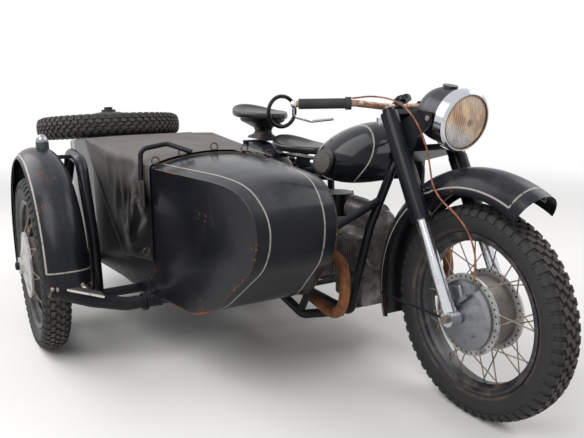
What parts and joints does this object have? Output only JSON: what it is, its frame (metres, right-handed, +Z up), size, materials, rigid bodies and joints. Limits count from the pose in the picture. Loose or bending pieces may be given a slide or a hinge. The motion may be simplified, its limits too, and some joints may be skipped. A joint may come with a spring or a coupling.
{
  "type": "motorcycle with sidecar",
  "caption": "Motorcycle with a flat-twin engine, telescopic fork and a covered one-seat sidecar that carries a spare wheel.",
  "frame": {"origin": "on the ground under the middle of the whole vehicle's box", "axes": "+X forward along the motorcycle, +Y to its left (the sidecar is at -Y), +Z up"},
  "size_m": [2.5544, 1.6015, 1.0416],
  "materials": {
    "black_paint": "worn gloss",
    "tyre_rubber": "dusty",
    "black_rim": "worn gloss",
    "cast_aluminium": "cast",
    "polished_steel": "polished",
    "chrome": "bright",
    "lens_glass": "fluted",
    "rusty_steel": "rusted",
    "soft_rubber": "satin",
    "copper_sheath": "matt",
    "red_glass": "gloss",
    "canvas": "worn canvas"
  },
  "bodies": {
    "chassis": {"frame": "black_paint", "engine": "cast_aluminium", "gearbox": "cast_aluminium", "cylinders": "cast_aluminium", "intake": "cast_aluminium", "exhausts": "rusty_steel", "fuel_tank": "black_paint", "filler_cap": "polished_steel", "knee_pads": "soft_rubber", "driver_saddle": "soft_rubber", "pillion_saddle": "soft_rubber", "saddle_brackets": "black_paint", "grab_ring": "black_paint", "rear_mudguard": "black_paint", "tail_lamp": "red_glass", "swing_arms": "black_paint", "shock_absorbers": "black_paint", "final_drive": "cast_aluminium", "foot_controls": "soft_rubber", "sidecar_body": "black_paint", "sidecar_nose": "black_paint", "sidecar_frame": "black_paint", "sidecar_arm": "black_paint", "sidecar_mudguard": "black_paint", "mudguard_arch": "black_paint", "marker_lamp": "black_paint", "step_plate": "cast_aluminium", "hand_rail": "black_paint", "tonneau_cover": "canvas", "sidecar_stays": "black_paint"},
    "steering": {"fork_upper": "black_paint", "fork_sliders": "polished_steel", "brake_plate": "cast_aluminium", "headlamp": "chrome", "headlamp_lens": "lens_glass", "handlebar": "rusty_steel", "grips": "soft_rubber", "control_levers": "polished_steel", "brake_cable": "copper_sheath", "front_mudguard": "black_paint"},
    "front_wheel": {"front_tyre": "tyre_rubber", "front_rim": "black_rim", "front_hub": "cast_aluminium"},
    "rear_wheel": {"rear_tyre": "tyre_rubber", "rear_rim": "black_rim", "rear_hub": "cast_aluminium"},
    "sidecar_wheel": {"sidecar_tyre": "tyre_rubber", "sidecar_rim": "black_rim", "sidecar_hub": "cast_aluminium"},
    "trunk_lid": {"trunk_lid": "black_paint", "spare_tyre": "tyre_rubber", "spare_wheel": "black_rim"},
    "centre_stand": {"centre_stand": "black_paint"}
  },
  "joints": [
    {"name": "steer", "type": "hinge", "parent": "chassis", "child": "steering", "pos_m": [0.59434, 0.404, 0.86059], "axis": [-0.4833, 0, 0.8755], "range_deg": [-30, 30]},
    {"name": "front_wheel_spin", "type": "hinge", "parent": "steering", "child": "front_wheel", "pos_m": [0.936, 0.404, 0.341], "axis": [0, 1, 0], "continuous": true},
    {"name": "rear_wheel_spin", "type": "hinge", "parent": "chassis", "child": "rear_wheel", "pos_m": [-0.564, 0.404, 0.341], "axis": [0, 1, 0], "continuous": true},
    {"name": "sidecar_wheel_spin", "type": "hinge", "parent": "chassis", "child": "sidecar_wheel", "pos_m": [-0.322, -0.704, 0.341], "axis": [0, 1, 0], "continuous": true},
    {"name": "trunk_lid_open", "type": "hinge", "parent": "chassis", "child": "trunk_lid", "pos_m": [-0.584, -0.152, 0.803], "axis": [0, 1, 0], "range_deg": [0, 70]},
    {"name": "centre_stand_down", "type": "hinge", "parent": "chassis", "child": "centre_stand", "pos_m": [-0.004, 0.404, 0.165], "axis": [0, -1, 0], "range_deg": [0, 31]}
  ]
}
